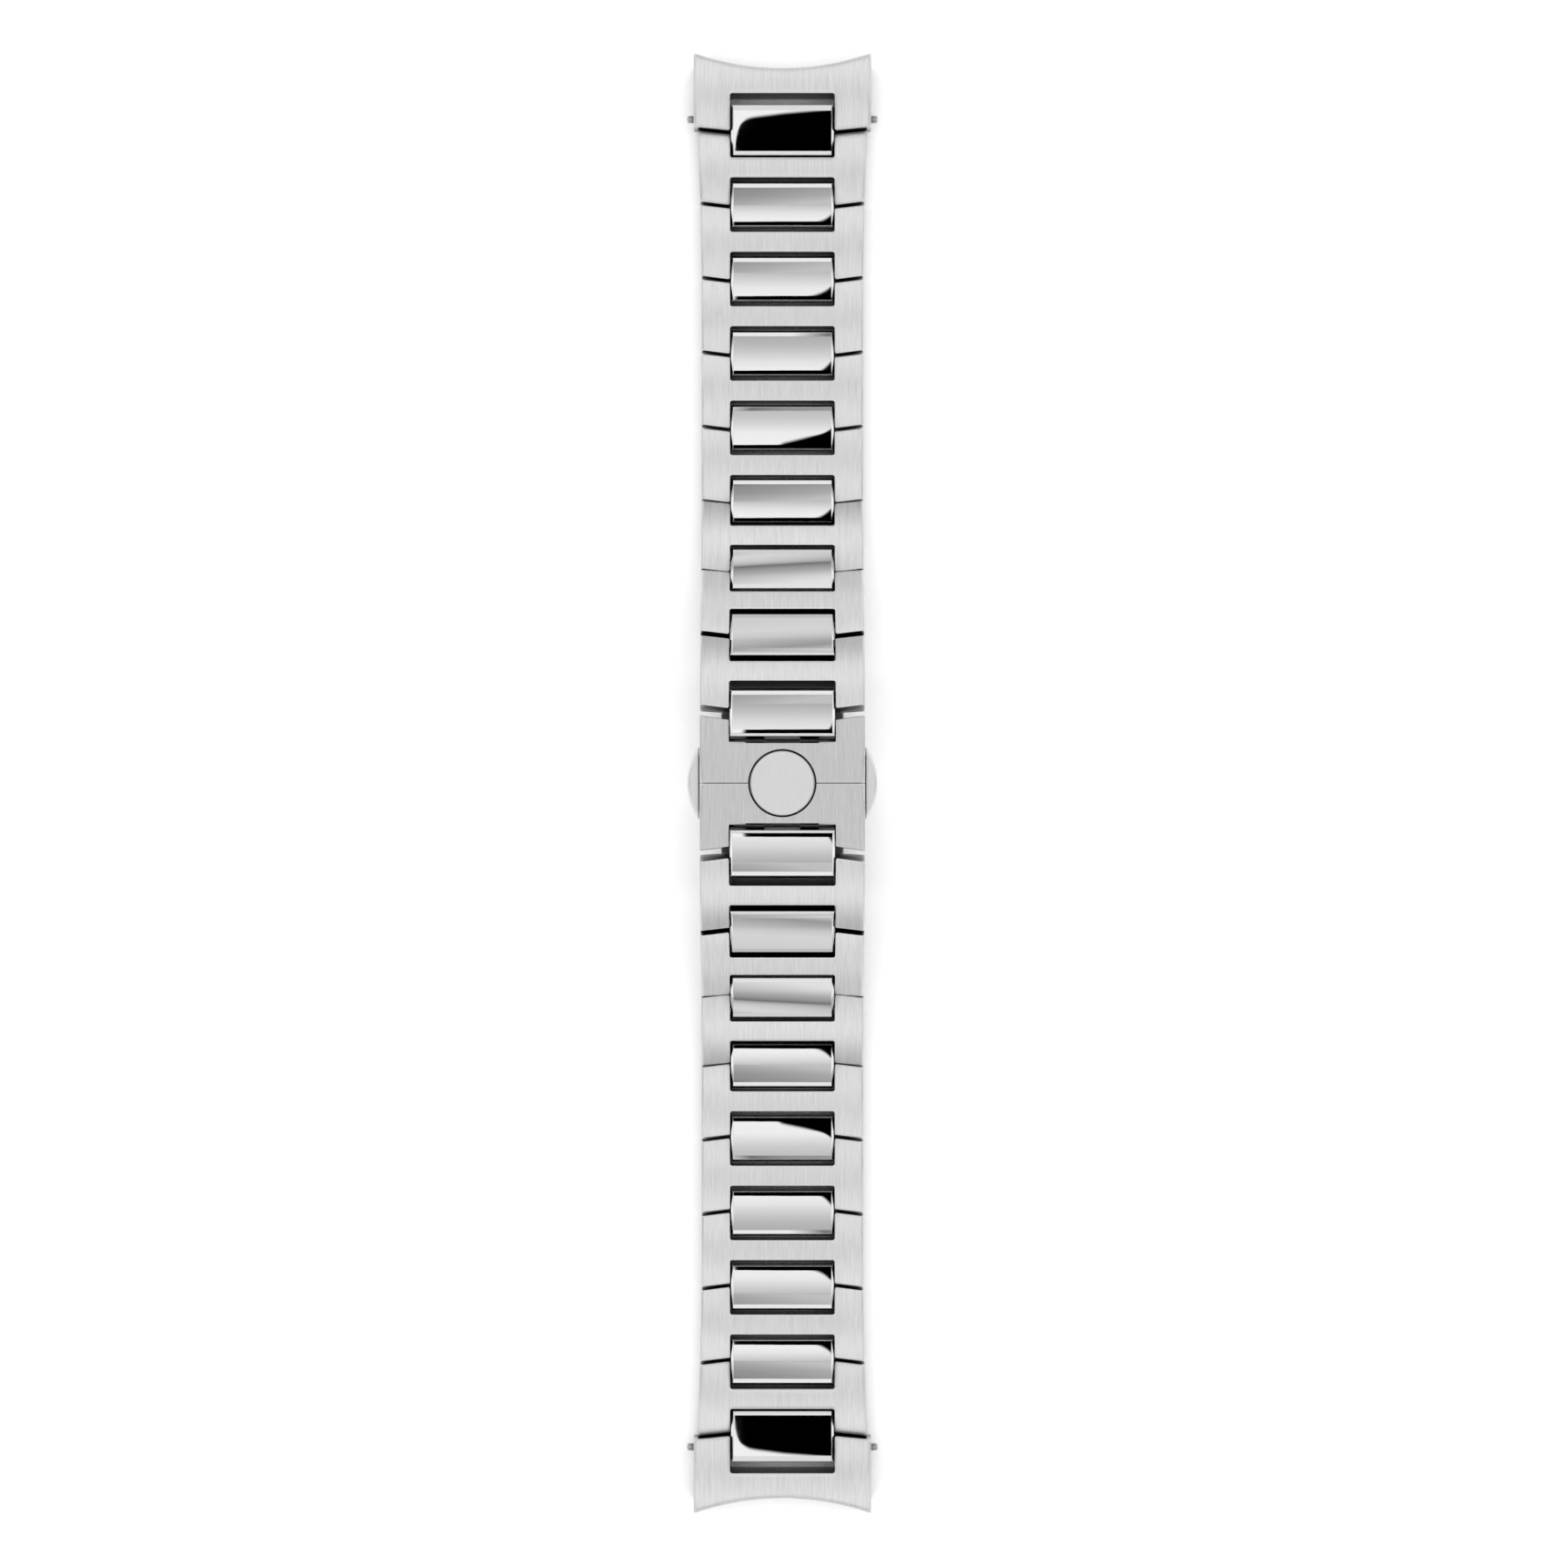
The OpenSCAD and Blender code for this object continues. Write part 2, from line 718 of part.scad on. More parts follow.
// A folding arm: a bent plate with a tongue at its tip, two knuckles outside the blade's barrel,
// and two ears that carry the cover's lobes
module fold_arm() {
    knuckle_w = (arm_w - blade_w) / 2 - fold_gap;
    ear_x = arm_w / 2 - ear_w - ear_inset;
    ear_y = arm_tip_y + ear_inset;
    tongue_a = asin((arm_tip_y - tongue_l) / arm_r);
    color(steel_inner)
        difference() {
            union() {
                difference() {
                    translate([0, 0, curve_z])
                        bent(arm_r, arm_r + arm_t, arm_w, tongue_a, hinge_a);
                    for (s = [-1, 1])
                        translate([s * (tongue_w + far) / 2, arm_tip_y - far / 2, latch_top])
                            cube([far, far, far], center = true);
                    translate([0, 0, barrel_r])
                        rod(barrel_r + fold_gap, blade_w + 2 * fold_gap, hinge_y);
                }
                for (s = [-1, 1])
                    translate([s * (arm_w - knuckle_w) / 2, 0, barrel_r])
                        rod(barrel_r, knuckle_w, hinge_y);
                intersection() {
                    for (s = [-1, 1])
                        translate([s * (ear_x + ear_w / 2) - ear_w / 2, ear_y, 0])
                            cube([ear_w, cover_pin_y - ear_y, cover_under]);
                    translate([0, 0, curve_z])
                        difference() {
                            rod(blade_r + far, far);
                            rod(arm_r + arm_t / 2, far + 1);
                        }
                }
            }
            translate([0, 0, barrel_r])
                rod(hinge_pin_d / 2 + run_clear, far, hinge_y);
        }
}

// The latch block bridges the blade. Its side walls hold a pocket for each push button's stem,
// and its roof carries the medallion's post.
module latch_block() {
    color(steel_inner)
        difference() {
            translate([-latch_w / 2, -latch_l / 2, latch_under])
                cube([latch_w, latch_l, latch_h]);
            translate([0, 0, curve_z])
                rod(blade_r + blade_t + eps, blade_w + fold_gap);
            for (s = [-1, 1])
                translate([s * (pocket_x + far / 2), 0, stem_z])
                    cube([far, stem_l + 2 * stem_clear, stem_h + 2 * stem_clear], center = true);
            cylinder(r = medal_post_d / 2 + hold_clear, h = far);
            for (s = [-1, 1]) {
                translate([0, s * (arm_tip_y + far / 2 - tongue_l - fold_gap), latch_top])
                    cube([tongue_w + 2 * fold_gap, far, 2 * (latch_top - curve_z - blade_r)],
                        center = true);
                translate([0, s * latch_l / 2, latch_top])
                    rotate([45, 0, 0])
                        cube([far, latch_edge, latch_edge], center = true);
            }
        }
}

// A push button on the side s, with a stem that slides in the latch block
module push_button(s) {
    z0 = latch_under + fold_gap;
    z1 = latch_top - fold_gap;
    color(steel_polished)
        mirror([s < 0 ? 1 : 0, 0, 0])
            difference() {
                union() {
                    intersection() {
                        translate([button_tip - button_r, 0, z0])
                            cylinder(r1 = button_r - button_chamfer,
                                r2 = button_r - button_chamfer + (z1 - z0), h = z1 - z0);
                        translate([button_tip - button_r, 0, z0])
                            cylinder(r1 = button_r - button_chamfer + (z1 - z0),
                                r2 = button_r - button_chamfer, h = z1 - z0);
                        translate([button_tip - button_r, 0, z0])
                            cylinder(r = button_r, h = z1 - z0);
                        translate([button_face, -button_l / 2, z0])
                            cube([far, button_l, z1 - z0]);
                    }
                    translate([stem_inner, -stem_l / 2, stem_z - stem_h / 2])
                        cube([button_face - stem_inner + 0.3, stem_l, stem_h]);
                }
                for (y = [-stem_l / 4, stem_l / 4])
                    translate([stem_inner - 1, y, stem_z])
                        rotate([0, 90, 0])
                            cylinder(r = coil_r + wire_d, h = spring_hole_end - stem_inner + 1);
            }
}

// Two springs behind each push button, at the length they have when it is pressed
module push_button_springs() {
    color(steel_inner)
        for (s = [-1, 1])
            for (y = [-stem_l / 4, stem_l / 4])
                translate([s * (pocket_x + button_spring_l / 2), y, stem_z])
                    coil(coil_r, button_turns, button_spring_l);
}

// One line for each node

on_chain(12, last) end_link();  // end_link_12
on_chain(6, last) end_link();  // end_link_6

// H-link n counts from the 12 o'clock end. Bodies 1, 3, 5 and so on of each half are H-links.
for (n = [1:links_per_side]) {
    on_chain(12, last - 2 * n) h_link(n);
    on_chain(6, last - 2 * n) h_link(n);
}

// Centre link n counts from the 12 o'clock end too
for (n = [1:links_per_side + 1])
    for (half = [12, 6]) {
        name = centre_name(half == 12 ? n : 2 * links_per_side + 3 - n);
        on_chain(half, last + 1 - 2 * n) centre_at(n);
    }

// The centre link at the end link turns on the spring bar, and the one at the clasp has a longer
// distance between its pins
module centre_at(n) {
    if (n == 1)
        centre_link(centre_span, first_inner_end, first_outer_end, pin_r, bar_r);
    else if (n == links_per_side + 1)
        centre_link(clasp_link_span, clasp_link_end, clasp_link_end, pin_r, pin_r);
    else
        centre_link(centre_span, centre_end, centre_end, pin_r, pin_r);
}

on_chain(12, last) spring_bar();  // spring_bar_12
on_chain(6, last) spring_bar();  // spring_bar_6
on_chain(12, last) spring_bar_tip(-1);  // spring_bar_tip_12_left
on_chain(12, last) spring_bar_tip(1);  // spring_bar_tip_12_right
on_chain(6, last) spring_bar_tip(1);  // spring_bar_tip_6_left
on_chain(6, last) spring_bar_tip(-1);  // spring_bar_tip_6_right
on_chain(12, last) spring_bar_spring();  // spring_bar_spring_12
on_chain(6, last) spring_bar_spring();  // spring_bar_spring_6
clasp_cover();  // clasp_cover_12
rotate([0, 0, 180]) clasp_cover();  // clasp_cover_6
fold_arm();  // fold_arm_12
rotate([0, 0, 180]) fold_arm();  // fold_arm_6
base_blade();
clasp_hinge_pins();
latch_block();
medallion();
push_button(-1);  // push_button_left
push_button(1);  // push_button_right
push_button_springs();
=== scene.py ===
# %% [markdown]
# # A steel H-link watch bracelet with a butterfly clasp
#
# The bracelet lies on a white table with its clasp closed. Every link, pin and clasp piece is
# already modelled to size, so this lesson is mostly about steel: how brushed and mirror-polished
# faces of the same metal differ, and how a studio is built so that they show it.

import json
import math

import bpy
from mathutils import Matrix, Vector

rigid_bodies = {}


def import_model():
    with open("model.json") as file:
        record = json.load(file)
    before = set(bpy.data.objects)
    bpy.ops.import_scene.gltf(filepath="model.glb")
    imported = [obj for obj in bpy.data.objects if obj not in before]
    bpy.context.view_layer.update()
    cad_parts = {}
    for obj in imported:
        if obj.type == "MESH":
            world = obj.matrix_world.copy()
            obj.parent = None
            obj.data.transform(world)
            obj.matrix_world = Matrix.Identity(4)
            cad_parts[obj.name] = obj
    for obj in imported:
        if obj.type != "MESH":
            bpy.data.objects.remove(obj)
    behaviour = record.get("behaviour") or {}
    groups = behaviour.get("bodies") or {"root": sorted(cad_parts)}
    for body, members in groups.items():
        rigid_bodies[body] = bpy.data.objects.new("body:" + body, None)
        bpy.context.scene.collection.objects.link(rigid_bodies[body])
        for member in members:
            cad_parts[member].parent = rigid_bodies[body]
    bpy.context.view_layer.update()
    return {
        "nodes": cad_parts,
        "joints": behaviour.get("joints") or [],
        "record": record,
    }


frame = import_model()
nodes = frame["nodes"]

# %% [markdown]
# ## Which way each link runs
#
# A brushed link shows fine lines along its length. The links near the clasp slope down to the
# table, so their lines have to slope with them. A link's direction is the line from the joint
# that it turns on to the joint that it carries, and the model's joints say where both are.

# %% Slope of each body
hinge_at = {}
carries = {}
for joint in frame["joints"]:
    if joint["type"] == "hinge":
        hinge_at[joint["child"]] = Vector(joint["pos_m"])
        if joint["name"].startswith("pivot"):
            carries[joint["parent"]] = Vector(joint["pos_m"])


def slope_of(body):
    """Turn about X, in degrees, that lays a body's own length level."""
    if body.startswith("fold_arm") or body not in hinge_at or body not in carries:
        return 0.0
    along = carries[body] - hinge_at[body]
    if along.y < 0:
        along = -along
    return math.degrees(-math.atan2(along.z, along.y))


# %% [markdown]
# ## Helpers for materials
#
# A material is a tree of nodes, and each node has sockets. A socket is fed by a link from another
# node or by a value of its own. The helpers below add one node each and feed its sockets, so that
# a material further down reads like a recipe. The numbers after a node's kind are its place in
# the node editor, and change nothing in the picture.

# %% Node helpers


def put(tree, kind, x, y, **settings):
    """A node at a place in the tree, with its settings."""
    node = tree.nodes.new(kind)
    node.location = (x, y)
    for key, value in settings.items():
        setattr(node, key, value)
    return node


def feed(tree, socket, value):
    """Feeds a socket from another socket, or from a number or a vector."""
    if hasattr(value, "is_linked"):
        tree.links.new(value, socket)
    else:
        socket.default_value = value


def math_node(tree, operation, x, y, a, b=0.0, **settings):
    """A Math node. Each operand is a socket or a number."""
    node = put(tree, "ShaderNodeMath", x, y, operation=operation, **settings)
    feed(tree, node.inputs[0], a)
    feed(tree, node.inputs[1], b)
    return node.outputs[0]


def remap(tree, x, y, value, source=(0.0, 1.0), target=(0.0, 1.0), **settings):
    """A Map Range node that takes the source range to the target range and clamps the result."""
    node = put(tree, "ShaderNodeMapRange", x, y, **settings)
    for label, number in zip(("From Min", "From Max", "To Min", "To Max"), source + target):
        node.inputs[label].default_value = number
    feed(tree, node.inputs["Value"], value)
    return node.outputs["Result"]


def blend(tree, kind, x, y, factor, a, b):
    """A Mix node for kind FLOAT or RGBA, which goes from a to b as the factor rises."""
    node = put(tree, "ShaderNodeMix", x, y, data_type=kind)
    for label, value in zip(("Factor", "A", "B"), (factor, a, b)):
        feed(tree, node.inputs[label], value)
    return node.outputs["Result"]


def scaled(tree, x, y, color, amount):
    """A colour made darker or lighter by an amount."""
    node = put(tree, "ShaderNodeVectorMath", x, y, operation="SCALE")
    feed(tree, node.inputs[0], color)
    feed(tree, node.inputs["Scale"], amount)
    return node.outputs["Vector"]


def noise_at(tree, x, y, vector, scale, detail, roughness=0.5):
    """The value of a Noise texture at a point."""
    node = put(tree, "ShaderNodeTexNoise", x, y)
    for label, value in zip(
        ("Vector", "Scale", "Detail", "Roughness"), (vector, scale, detail, roughness)
    ):
        feed(tree, node.inputs[label], value)
    return node.outputs["Fac"]


print("node helpers are ready")

# %% [markdown]
# ## Groups
#
# A node group is a small machine with named inputs and outputs. Several finishes need grain,
# rounded edges and painted shade in their crevices, so each of these is built once as a group,
# and each material places it with its own values.

# %% Group helpers


def new_group(name, inputs, outputs):
    """An empty shader node group with the given sockets, and its two end nodes."""
    group = bpy.data.node_groups.new(name, "ShaderNodeTree")
    for label, kind, value in inputs:
        socket = group.interface.new_socket(label, in_out="INPUT", socket_type=kind)
        if value is not None:
            socket.default_value = value
    for label, kind in outputs:
        group.interface.new_socket(label, in_out="OUTPUT", socket_type=kind)
    return group, put(group, "NodeGroupInput", -900, 0), put(group, "NodeGroupOutput", 700, 0)


def place_group(tree, group, x, y, **values):
    """A group placed in a tree. Its inputs are fed by their names in lower case."""
    node = put(tree, "ShaderNodeGroup", x, y, node_tree=group)
    for socket in node.inputs:
        if socket.name.lower() in values:
            feed(tree, socket, values[socket.name.lower()])
    return node


print("group helpers are ready")

# %% [markdown]
# ## Brushed grain
#
# A brush leaves scratches that are much longer than they are wide. A picture of scratches would
# show its seams and repeats, so the lines come from noise that is stretched forty times along the
# link. Two sizes are mixed: hair-fine lines, and broader bands where the brush pressed harder. A
# flank faces sideways, so lines that vary across X wouldn't show there. It gets the same noise
# turned to vary with height, chosen by the face's own normal.

# %% Grain group
FINE_SCALE, FINE_DETAIL = 16000.0, 3.0
BAND_SCALE, BAND_DETAIL = 4000.0, 2.0
TOP_STRETCH = (1.0, 0.025, 0.02)
FLANK_STRETCH = (0.02, 0.025, 1.0)
FLANK_NORMAL = 0.8
GRAIN_ROUGHNESS = 0.6


def build_grain():
    group, start, end = new_group(
        "Brushed grain",
        [
            ("Vector", "NodeSocketVector", None),
            ("Fine scale", "NodeSocketFloat", FINE_SCALE),
            ("Band scale", "NodeSocketFloat", BAND_SCALE),
        ],
        [("Lines", "NodeSocketFloat"), ("Bands", "NodeSocketFloat")],
    )
    coords = put(group, "ShaderNodeTexCoord", -900, -300)
    split = put(group, "ShaderNodeSeparateXYZ", -700, -300)
    group.links.new(coords.outputs["Normal"], split.inputs[0])
    sideways = math_node(group, "ABSOLUTE", -500, -300, split.outputs["X"])
    flank = math_node(group, "GREATER_THAN", -300, -300, sideways, FLANK_NORMAL)
    sizes = (("Fine scale", FINE_DETAIL), ("Band scale", BAND_DETAIL))
    for row, (size, detail) in enumerate(sizes):
        faces = []
        for column, stretch in enumerate((TOP_STRETCH, FLANK_STRETCH)):
            y = 300 - 260 * row - 120 * column
            mapping = put(group, "ShaderNodeMapping", -600, y)
            mapping.inputs["Scale"].default_value = stretch
            group.links.new(start.outputs["Vector"], mapping.inputs["Vector"])
            turned = mapping.outputs["Vector"]
            scale = start.outputs[size]
            faces.append(noise_at(group, -350, y, turned, scale, detail, GRAIN_ROUGHNESS))
        group.links.new(blend(group, "FLOAT", 100, 200 - 260 * row, flank, *faces), end.inputs[row])
    return group


grain_group = build_grain()
print("grain group:", len(grain_group.nodes), "nodes")

# %% [markdown]
# ## Rounded edges
#
# No real edge is perfectly sharp. After machining, each link is tumbled and polished, and its
# edges keep a small radius. That radius is what draws the thin bright lines round every link:
# partly through the normals it bends, and partly as a painted highlight in the brushed finishes.
# A Bevel modifier would cut the edges into the mesh; these meshes are left as they are. The Bevel
# node finds the edges that are near a point and bends only the normal there. A second output tells
# how far the normal was bent: the brush doesn't reach into an edge, so its grain fades out there,
# and the brushed finishes make the colour lighter there, which is a painted highlight.

# %% Rounded edges group
EDGE_SAMPLES = 6
EDGE_GAIN = 4.0


def build_edges():
    group, start, end = new_group(
        "Rounded edges",
        [("Radius", "NodeSocketFloat", 0.0001)],
        [("Normal", "NodeSocketVector"), ("Edge", "NodeSocketFloat")],
    )
    bevel = put(group, "ShaderNodeBevel", -450, 0, samples=EDGE_SAMPLES)
    group.links.new(start.outputs["Radius"], bevel.inputs["Radius"])
    flat = put(group, "ShaderNodeNewGeometry", -450, -200)
    same = put(group, "ShaderNodeVectorMath", -200, -100, operation="DOT_PRODUCT")
    group.links.new(bevel.outputs["Normal"], same.inputs[0])
    group.links.new(flat.outputs["Normal"], same.inputs[1])
    bent = math_node(group, "SUBTRACT", 0, -100, 1.0, same.outputs["Value"])
    sharp = math_node(group, "MULTIPLY", 200, -100, bent, EDGE_GAIN, use_clamp=True)
    group.links.new(bevel.outputs["Normal"], end.inputs["Normal"])
    group.links.new(sharp, end.inputs["Edge"])
    return group


edge_group = build_edges()
print("edge group:", len(edge_group.nodes), "nodes")

# %% [markdown]
# ## Painted shade in the crevices
#
# Hardly any light gets out of the narrow gaps of a bracelet. The Ambient Occlusion node measures
# how open a point is within a short distance, and the colour of the seams' walls is darkened by
# it: this is painted shade. The open faces are left alone.

# %% Painted crevice shade group
SEAM_REACH = 0.0012
SLOT_REACH = 0.003
CLOSED_TO_OPEN = (0.45, 0.92)
DARKEST_PAINTED_SHADE = 0.02
PAINTED_SHADE_SAMPLES = 4


def build_painted_shade():
    group, start, end = new_group(
        "Painted crevice shade", [("Distance", "NodeSocketFloat", SEAM_REACH)], [("Open", "NodeSocketFloat")]
    )
    hidden = put(group, "ShaderNodeAmbientOcclusion", -350, 0, samples=PAINTED_SHADE_SAMPLES)
    group.links.new(start.outputs["Distance"], hidden.inputs["Distance"])
    level = remap(group, -50, 0, hidden.outputs["AO"], CLOSED_TO_OPEN, (DARKEST_PAINTED_SHADE, 1.0))
    group.links.new(level, end.inputs["Open"])
    return group


painted_shade_group = build_painted_shade()
print("crevice group:", len(painted_shade_group.nodes), "nodes")

# %% [markdown]
# ## Brushed steel
#
# Steel's colour is a light neutral grey, and nearly all of its look is in how it spreads light.
# The lines tint the colour a little and tilt the surface through a Bump node, and the bands vary
# the roughness. Brushed grooves spread a reflection much more across than along themselves. A
# Principled shader does that with its Anisotropic value, and a Tangent node gives the direction.

# %% Steel helpers
NOISE_RANGE = (0.3, 0.7)
BAND_SHARE = 0.3
EDGE_HIGHLIGHT_TONE = 0.62


def new_steel(name):
    """A new metal, with its node tree and its shader."""
    material = bpy.data.materials.new(name)
    material.use_nodes = True
    shader = material.node_tree.nodes["Principled BSDF"]
    shader.inputs["Metallic"].default_value = 1.0
    return material, material.node_tree, shader


def add_bump(tree, shader, height, normal, strength, depth):
    """Tilts the surface by a height that varies over it, up to depth, on top of a normal."""
    bump = put(tree, "ShaderNodeBump", -400, -260)
    for label, value in zip(
        ("Strength", "Distance", "Height", "Normal"), (strength, depth, height, normal)
    ):
        feed(tree, bump.inputs[label], value)
    tree.links.new(bump.outputs["Normal"], shader.inputs["Normal"])


def line_tone(tree, grain, edge, contrast):
    """Light and dark lines about a middle tone of 1. They fade out at the edges to a slightly
    lighter tone, a painted highlight.
    """
    lines = blend(
        tree, "FLOAT", -800, 120, BAND_SHARE, grain.outputs["Lines"], grain.outputs["Bands"]
    )
    faded = blend(tree, "FLOAT", -700, 60, edge, lines, EDGE_HIGHLIGHT_TONE)
    return remap(tree, -650, 200, faded, NOISE_RANGE, (1.0 - contrast, 1.0 + contrast))


print("steel helpers are ready")

# %% Brushed steel
LINK_EDGE = 0.00025
ROUGHNESS_SPREAD = 0.08


def brushed_steel(
    name, color, roughness, contrast, depth, slope=0.0, edge=LINK_EDGE, painted_edge_highlight=0.45, reach=SEAM_REACH
):
    """Metal with lines along Y, which slope turns to follow a sloping link.

    The lines change the tone by contrast and are depth high. Edges get the radius edge, and a
    painted highlight makes their colour lighter there by the given amount. Within reach of a wall
    the colour is darkened, which is painted shade. Lengths are in metres.
    """
    material, tree, shader = new_steel(name)
    shader.inputs["Anisotropic"].default_value = 0.6
    shader.inputs["Anisotropic Rotation"].default_value = 0.25
    tangent = put(tree, "ShaderNodeTangent", -200, -450, direction_type="RADIAL", axis="X")
    tree.links.new(tangent.outputs["Tangent"], shader.inputs["Tangent"])
    rounded = place_group(tree, edge_group, -900, -400, radius=edge)
    coords = put(tree, "ShaderNodeTexCoord", -1300, 0)
    turn = put(tree, "ShaderNodeMapping", -1100, 0)
    turn.inputs["Rotation"].default_value = (math.radians(slope), 0, 0)
    tree.links.new(coords.outputs["Object"], turn.inputs["Vector"])
    grain = place_group(tree, grain_group, -900, 0, vector=turn.outputs["Vector"])
    tone = line_tone(tree, grain, rounded.outputs["Edge"], contrast)
    # Painted shade: the colour is darkened where a wall is near.
    painted_shade = place_group(tree, painted_shade_group, -650, 450, distance=reach)
    tone = math_node(tree, "MULTIPLY", -500, 350, tone, painted_shade.outputs["Open"])
    # Painted highlight: the colour is made lighter on the rounded edges.
    painted_rim_highlight = math_node(tree, "MULTIPLY", -650, 600, rounded.outputs["Edge"], painted_edge_highlight)
    painted_rim_highlight = math_node(tree, "ADD", -500, 600, painted_rim_highlight, 1.0)
    tone = math_node(tree, "MULTIPLY", -350, 500, painted_rim_highlight, tone)
    tree.links.new(scaled(tree, -400, 200, color, tone), shader.inputs["Base Color"])
    spread = (roughness - ROUGHNESS_SPREAD, roughness + ROUGHNESS_SPREAD)
    rough = remap(tree, -650, -60, grain.outputs["Bands"], target=spread)
    tree.links.new(rough, shader.inputs["Roughness"])
    add_bump(tree, shader, grain.outputs["Lines"], rounded.outputs["Normal"], 0.6, depth)
    return material


made = {}


def link_steel(slope, edge=LINK_EDGE, reach=SEAM_REACH):
    """One material for each slope, edge radius and reach, shared by the links that have them."""
    key = (round(slope, 1), edge, reach)
    if key not in made:
        made[key] = brushed_steel(
            f"brushed_steel_{len(made) + 1}", (0.66, 0.66, 0.665), 0.34, 0.15, 0.000006,
            slope=key[0], edge=edge, reach=reach,
        )
    return made[key]


print("radius of a link's edges:", LINK_EDGE, "m")

# %% [markdown]
# ## Mirror-polished steel
#
# The centre links are polished until they reflect like mirrors. A Principled shader with a
# roughness near zero does that. No real polish is perfect, so a soft, low noise varies the
# roughness a little, and a second one adds a very slight waviness.

# %% Polished steel
HAZE_SCALE = 700.0
WAVE_SCALE = 160.0
HAZE_TINT = 0.97


def polished_steel(name, color, smooth, hazy, edge):
    """A mirror whose roughness goes from smooth to hazy, with edges of radius edge."""
    material, tree, shader = new_steel(name)
    coords = put(tree, "ShaderNodeTexCoord", -1100, 0)
    haze = noise_at(tree, -850, 100, coords.outputs["Object"], HAZE_SCALE, 4.0)
    wave = noise_at(tree, -850, -200, coords.outputs["Object"], WAVE_SCALE, 0.0)
    rough = remap(tree, -600, 0, haze, NOISE_RANGE, (smooth, hazy))
    tree.links.new(rough, shader.inputs["Roughness"])
    darker = tuple(HAZE_TINT * level for level in color)
    tint = blend(tree, "RGBA", -400, 250, haze, darker + (1.0,), color + (1.0,))
    # Painted shade: the mirror's colour is darkened where a wall is near.
    painted_shade = place_group(tree, painted_shade_group, -400, 450)
    shade = scaled(tree, -200, 300, tint, painted_shade.outputs["Open"])
    tree.links.new(shade, shader.inputs["Base Color"])
    rounded = place_group(tree, edge_group, -650, -350, radius=edge)
    add_bump(tree, shader, wave, rounded.outputs["Normal"], 0.25, 0.00002)
    return material


mirror = polished_steel("mirror_steel", (0.88, 0.88, 0.885), 0.004, 0.016, 0.00006)
print("mirror steel:", len(mirror.node_tree.nodes), "nodes")

# %% [markdown]
# ## The other finishes
#
# The blades and the latch block of the clasp are satin, with fainter lines than the links. Pins
# are ground from rod. The disc and the push buttons are frosted: lighter and nearly without
# lines, with edges of their own. All four are brushed steel with other numbers.

# %% Satin, pin, disc and button steel
satin = brushed_steel("satin_steel", (0.58, 0.58, 0.59), 0.32, 0.05, 0.000004)
pin_steel = brushed_steel("ground_pin_steel", (0.55, 0.55, 0.56), 0.28, 0.04, 0.000002)
disc_steel = brushed_steel(
    "frosted_disc_steel", (0.84, 0.84, 0.845), 0.46, 0.05, 0.000001,
    edge=0.0003, painted_edge_highlight=0.15, reach=0.0002,
)
button_steel = brushed_steel(
    "button_steel", (0.86, 0.86, 0.865), 0.36, 0.02, 0.000001,
    edge=0.0004, painted_edge_highlight=0.1, reach=0.0002,
)
print("brushed steel:", len(satin.node_tree.nodes), "nodes")

# %% [markdown]
# ## Dressing the pieces
#
# A piece's name tells its finish. The end links, and the links next to them, are the largest
# pieces and have softer edges. The wide slots at both ends of a half are deeper than the others,
# so on the pieces that wall them in, the painted shade looks further for a wall across the slot.

# %% Give each piece its steel
END_EDGE = 0.0008
NEXT_TO_CASE = ("h_link_01", "h_link_16")
NEXT_TO_CLASP = ("h_link_08", "h_link_09")
FINISHES = {
    "center_link": mirror,
    "push_button_left": button_steel,
    "push_button_right": button_steel,
    "medallion": disc_steel,
    "spring_bar": pin_steel,
    "clasp_hinge": pin_steel,
}
bodies = frame["record"]["behaviour"]["bodies"]
body_of = {name: body for body, names in bodies.items() for name in names}


def finish_of(name):
    """The material of one piece, by its name."""
    if name.startswith(("end_link", "h_link", "clasp_cover")):
        edge = END_EDGE if name.startswith("end_link") or name in NEXT_TO_CASE else LINK_EDGE
        slotted = name.startswith("end_link") or name in NEXT_TO_CLASP
        return link_steel(slope_of(body_of[name]), edge, SLOT_REACH if slotted else SEAM_REACH)
    for start, material in FINISHES.items():
        if name.startswith(start):
            return material
    return satin


def dress(node, material):
    """Puts one material on every slot of a CAD node."""
    if not node.material_slots:
        node.data.materials.append(material)
    for slot in node.material_slots:
        slot.link = "OBJECT"
        slot.material = material


for name, node in nodes.items():
    dress(node, finish_of(name))
print("brushed materials for the links:", len(made))

# %% [markdown]
# ## The table
#
# The photograph has a pure white ground with a faint soft shadow. Enough light to make a table
# white would burn out the steel. So the table is a mid grey that adds light of its own, which the
# camera and the reflections see and nothing else does. An Ambient Occlusion node takes both away
# where something lies over the table, so the ground stays dark in the gaps between the links.

# %% Table
TABLE_SIDE = 6.0
TABLE_DROP = 0.00002
TABLE_GREY = (0.32, 0.32, 0.32)
TABLE_GLOW = 0.78
SHADOW_REACH = 0.012
COVERED_TO_FREE = (0.12, 0.5)

bpy.ops.object.select_all(action="DESELECT")
bpy.ops.mesh.primitive_plane_add(size=TABLE_SIDE, location=(0, 0, -TABLE_DROP))
table = bpy.context.object
table.name = "table"
paper = bpy.data.materials.new("white_table")
paper.use_nodes = True
tree = paper.node_tree
shader = tree.nodes["Principled BSDF"]
shader.inputs["Roughness"].default_value = 0.9
shader.inputs["Specular IOR Level"].default_value = 0.1
shader.inputs["Emission Color"].default_value = (1, 1, 1, 1)
